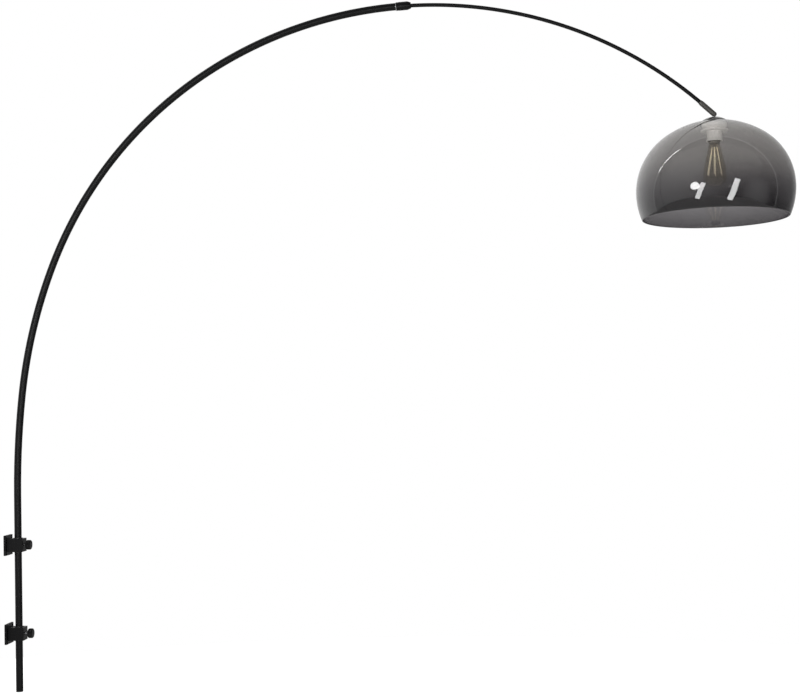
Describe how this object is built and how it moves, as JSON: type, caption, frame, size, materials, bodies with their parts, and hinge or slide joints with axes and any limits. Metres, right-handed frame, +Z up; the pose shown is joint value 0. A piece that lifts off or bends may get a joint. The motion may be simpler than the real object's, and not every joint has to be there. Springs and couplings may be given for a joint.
{
  "type": "wall-mounted bow lamp",
  "caption": "Black bow lamp held to the wall by two clamp brackets, with a telescoping curved arm and a hanging smoked dome shade over a clear filament bulb.",
  "frame": {"origin": "centre of the upper wall plate's back face", "axes": "+X away from the wall, +Z up"},
  "size_m": [1.9503, 0.38, 1.6947],
  "materials": {
    "satin_black": "satin black powder coat",
    "black_nylon": "moulded black nylon",
    "zinc_steel": "zinc-plated steel",
    "turned_brass": "turned brass",
    "smoked_acrylic": "see-through smoked acrylic, glossy",
    "white_plastic": "moulded white plastic",
    "pale_ceramic": "pressed insulating core",
    "nickel_plate": "nickel-plated cap",
    "dark_glass": "dark insulating glass",
    "clear_glass": "clear glass",
    "filament_coat": "pale phosphor coat on filament rods"
  },
  "bodies": {
    "wall_brackets": {"upper_wall_plate": "satin_black", "upper_clamp_block": "satin_black", "upper_block_screws": "zinc_steel", "lower_wall_plate": "satin_black", "lower_clamp_block": "satin_black", "lower_block_screws": "zinc_steel"},
    "clamp_liners": {"upper_clamp_liner": "black_nylon", "lower_clamp_liner": "black_nylon"},
    "arm": {"lower_pole": "satin_black", "upper_bow": "satin_black", "joint_spigot": "zinc_steel", "joint_grub_screw": "zinc_steel", "bottom_end_plug": "black_nylon", "collar_ferrule": "zinc_steel"},
    "collet": {"lock_collet": "black_nylon"},
    "collar": {"lock_collar": "satin_black"},
    "reach_arm": {"reach_tube": "satin_black", "guide_bush": "black_nylon", "tip_sleeve": "satin_black", "ball_seat": "black_nylon"},
    "shade_unit": {"swivel_stem": "zinc_steel", "top_cap": "smoked_acrylic", "shade": "smoked_acrylic", "shade_carrier": "white_plastic", "holder_nut": "zinc_steel", "holder_ring": "white_plastic", "lampholder_shell": "white_plastic", "lampholder_core": "pale_ceramic", "thread_liner": "nickel_plate", "centre_contact": "turned_brass", "bulb_cap": "nickel_plate", "bulb_insulator": "dark_glass", "bulb_glass": "clear_glass", "bulb_stem": "clear_glass", "bulb_filaments": "filament_coat", "bulb_wires": "zinc_steel"},
    "upper_pad": {"upper_pressure_pad": "turned_brass"},
    "upper_screw": {"upper_clamp_stud": "zinc_steel", "upper_clamp_knob": "satin_black"},
    "lower_pad": {"lower_pressure_pad": "turned_brass"},
    "lower_screw": {"lower_clamp_stud": "zinc_steel", "lower_clamp_knob": "satin_black"}
  },
  "joints": [
    {"name": "arm_swivel", "type": "hinge", "parent": "wall_brackets", "child": "clamp_liners", "pos_m": [0.028, 0, 0], "axis": [0, 0, 1], "range_deg": [-80, 80]},
    {"name": "arm_height", "type": "slide", "parent": "clamp_liners", "child": "arm", "axis": [0, 0, 1], "range_m": [-0.09, 0.11]},
    {"name": "arm_reach", "type": "hinge", "parent": "arm", "child": "reach_arm", "pos_m": [1.05351, 0, 0.30306], "axis": [0, 1, 0], "range_deg": [-23, 1.5]},
    {"name": "shade_tilt", "type": "hinge", "parent": "reach_arm", "child": "shade_unit", "pos_m": [1.76033, 0, 1.03416], "axis": [0, 1, 0], "range_deg": [-15, 40]},
    {"name": "collet_travel", "type": "slide", "parent": "arm", "child": "collet", "axis": [0.9979, 0, 0.0654], "range_m": [0, 0.0015]},
    {"name": "collar_turn", "type": "hinge", "parent": "collet", "child": "collar", "pos_m": [0.98703, 0, 1.31728], "axis": [0.9979, 0, 0.0654], "range_deg": [0, 360.1]},
    {"name": "upper_pad_travel", "type": "slide", "parent": "wall_brackets", "child": "upper_pad", "axis": [1, 0, 0], "range_m": [0, 0.001]},
    {"name": "upper_screw_turn", "type": "hinge", "parent": "upper_pad", "child": "upper_screw", "pos_m": [0.044, 0, 0], "axis": [1, 0, 0], "range_deg": [0, 360.1]},
    {"name": "lower_pad_travel", "type": "slide", "parent": "wall_brackets", "child": "lower_pad", "axis": [1, 0, 0], "range_m": [0, 0.001]},
    {"name": "lower_screw_turn", "type": "hinge", "parent": "lower_pad", "child": "lower_screw", "pos_m": [0.044, 0, -0.22], "axis": [1, 0, 0], "range_deg": [0, 360.1]}
  ],
  "couplings": [
    {"joint": "collar_turn", "follows": "collet_travel", "rad_per_m": 4188.8},
    {"joint": "upper_screw_turn", "follows": "upper_pad_travel", "rad_per_m": 6283.2},
    {"joint": "lower_screw_turn", "follows": "lower_pad_travel", "rad_per_m": 6283.2}
  ]
}
